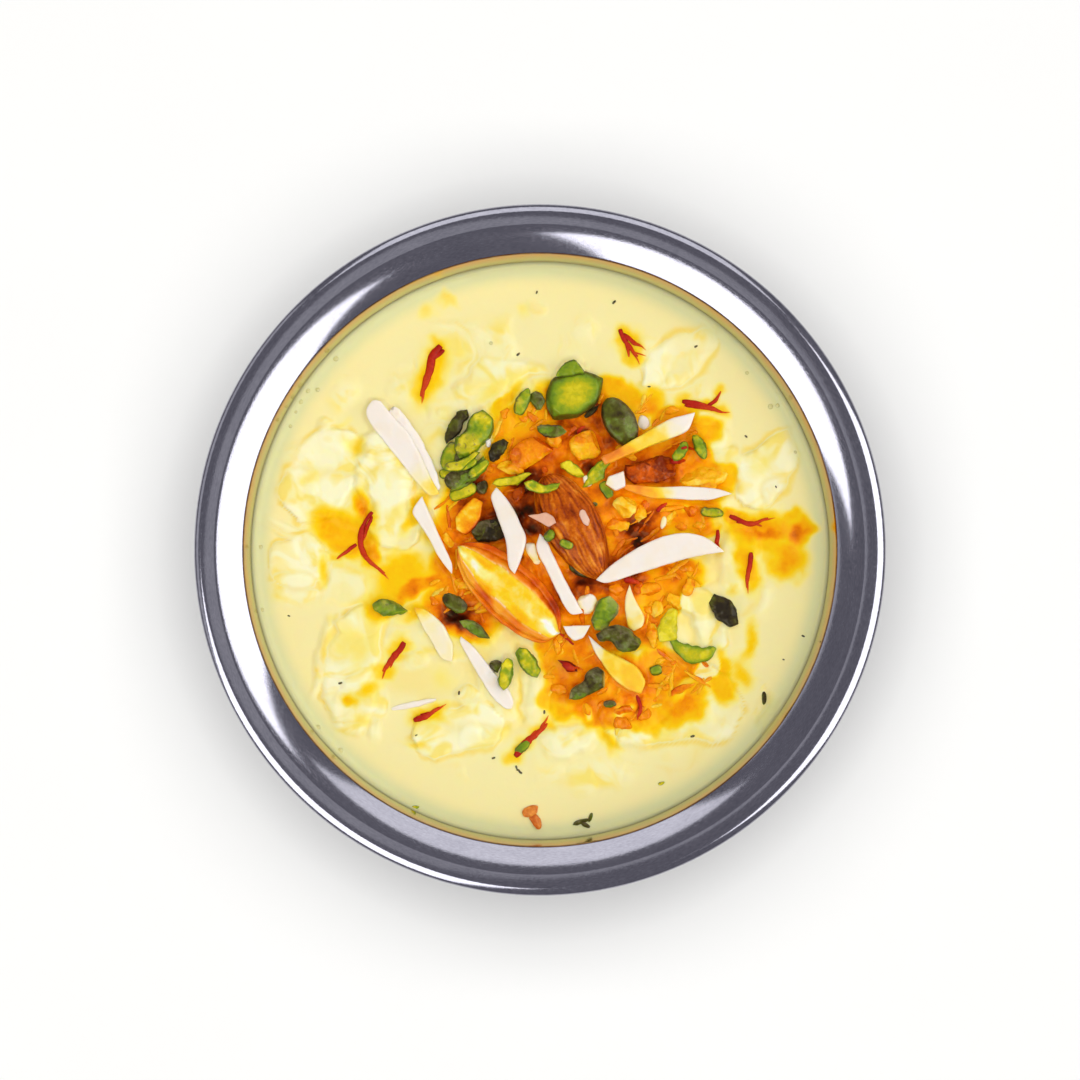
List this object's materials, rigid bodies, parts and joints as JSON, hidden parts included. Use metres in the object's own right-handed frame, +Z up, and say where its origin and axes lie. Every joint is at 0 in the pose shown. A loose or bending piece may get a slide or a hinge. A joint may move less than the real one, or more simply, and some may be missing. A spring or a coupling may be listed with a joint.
{
  "type": "rabdi",
  "caption": "Bowl of rabdi: thick saffron milk with flakes of clotted cream, topped with almonds, almond slivers, pistachio pieces and saffron, in a round flanged steel bowl.",
  "frame": {"origin": "middle of the bowl's flat foot, at the bottom centre of the whole", "axes": "+Z up, out of the bowl's mouth; +X towards the tip of the large crescent sliver, +Y away from the viewer who stands at the front"},
  "size_m": [0.125, 0.125, 0.056],
  "materials": {
    "steel": "polished stainless steel with fine scratches",
    "milk": "wet, opaque pale cream-yellow milk",
    "malai": "soft clotted cream, satin",
    "soaked_malai": "clotted cream soaked with saffron, wet",
    "almond_skin": "ridged brown almond skin, wet",
    "almond_stained": "split almond stained yellow, wet",
    "almond_white": "cut almond, dry satin",
    "almond_yellow": "cut almond stained yellow",
    "almond_pink": "almond flake with skin",
    "pistachio_green": "pistachio kernel, satin",
    "pistachio_dark": "wet pistachio with its skin",
    "pistachio_lime": "cut face of pistachio",
    "saffron_red": "deep red-brown, wet"
  },
  "bodies": {
    "root": {"bowl": "steel", "rabdi": "milk", "malai_flake_left": "malai", "malai_flake_inner": "malai", "malai_flake_side": "malai", "malai_flake_long": "malai", "malai_flake_front": "malai", "malai_flake_broad": "malai", "malai_flake_back": "malai", "malai_flake_right": "malai", "malai_fold_soaked": "soaked_malai", "malai_fold_yellow": "almond_yellow", "almond_whole": "almond_skin", "almond_split": "almond_stained", "pistachio_half": "pistachio_green", "pistachio_half_dark": "pistachio_dark", "pistachio_half_under": "pistachio_dark", "soaked_chunk": "soaked_malai", "soaked_nut": "saffron_red", "amber_wedge": "almond_yellow", "ribbed_chunk": "almond_yellow", "sliver_back_left": "almond_white", "sliver_left": "almond_white", "sliver_low_left": "almond_white", "sliver_front_left": "almond_white", "sliver_right": "almond_white", "sliver_back_right": "almond_yellow", "sliver_wedge": "almond_yellow", "sliver_short": "almond_white", "sliver_nib": "almond_white", "sliver_stub": "almond_white", "pistachio_cap": "pistachio_green", "pistachio_foot": "pistachio_green", "pistachio_cup": "pistachio_green", "pistachio_lobe": "pistachio_green", "pistachio_skin": "pistachio_dark", "pistachio_strip": "pistachio_lime", "pistachio_strip_dark": "pistachio_dark", "pistachio_dark": "pistachio_dark", "pistachio_slice": "pistachio_lime", "pistachio_curl": "pistachio_lime", "pistachio_bright": "pistachio_lime", "pistachio_boot": "pistachio_lime", "pistachio_bean_a": "pistachio_green", "pistachio_bean_b": "pistachio_green", "pistachio_black": "pistachio_dark", "pistachio_smile": "pistachio_lime", "pistachio_lime": "pistachio_lime", "pistachio_leaf": "pistachio_green", "pistachio_knob": "pistachio_dark", "pistachio_olive": "pistachio_dark", "red_fruit_bit": "saffron_red", "pistachio_low_left": "pistachio_green", "pistachio_under": "pistachio_dark", "pistachio_front_a": "pistachio_lime", "pistachio_front_b": "pistachio_green", "sliver_middle": "almond_white", "sliver_thin": "almond_white", "sliver_large": "almond_white", "almond_flake_pink": "almond_pink"}
  },
  "joints": []
}
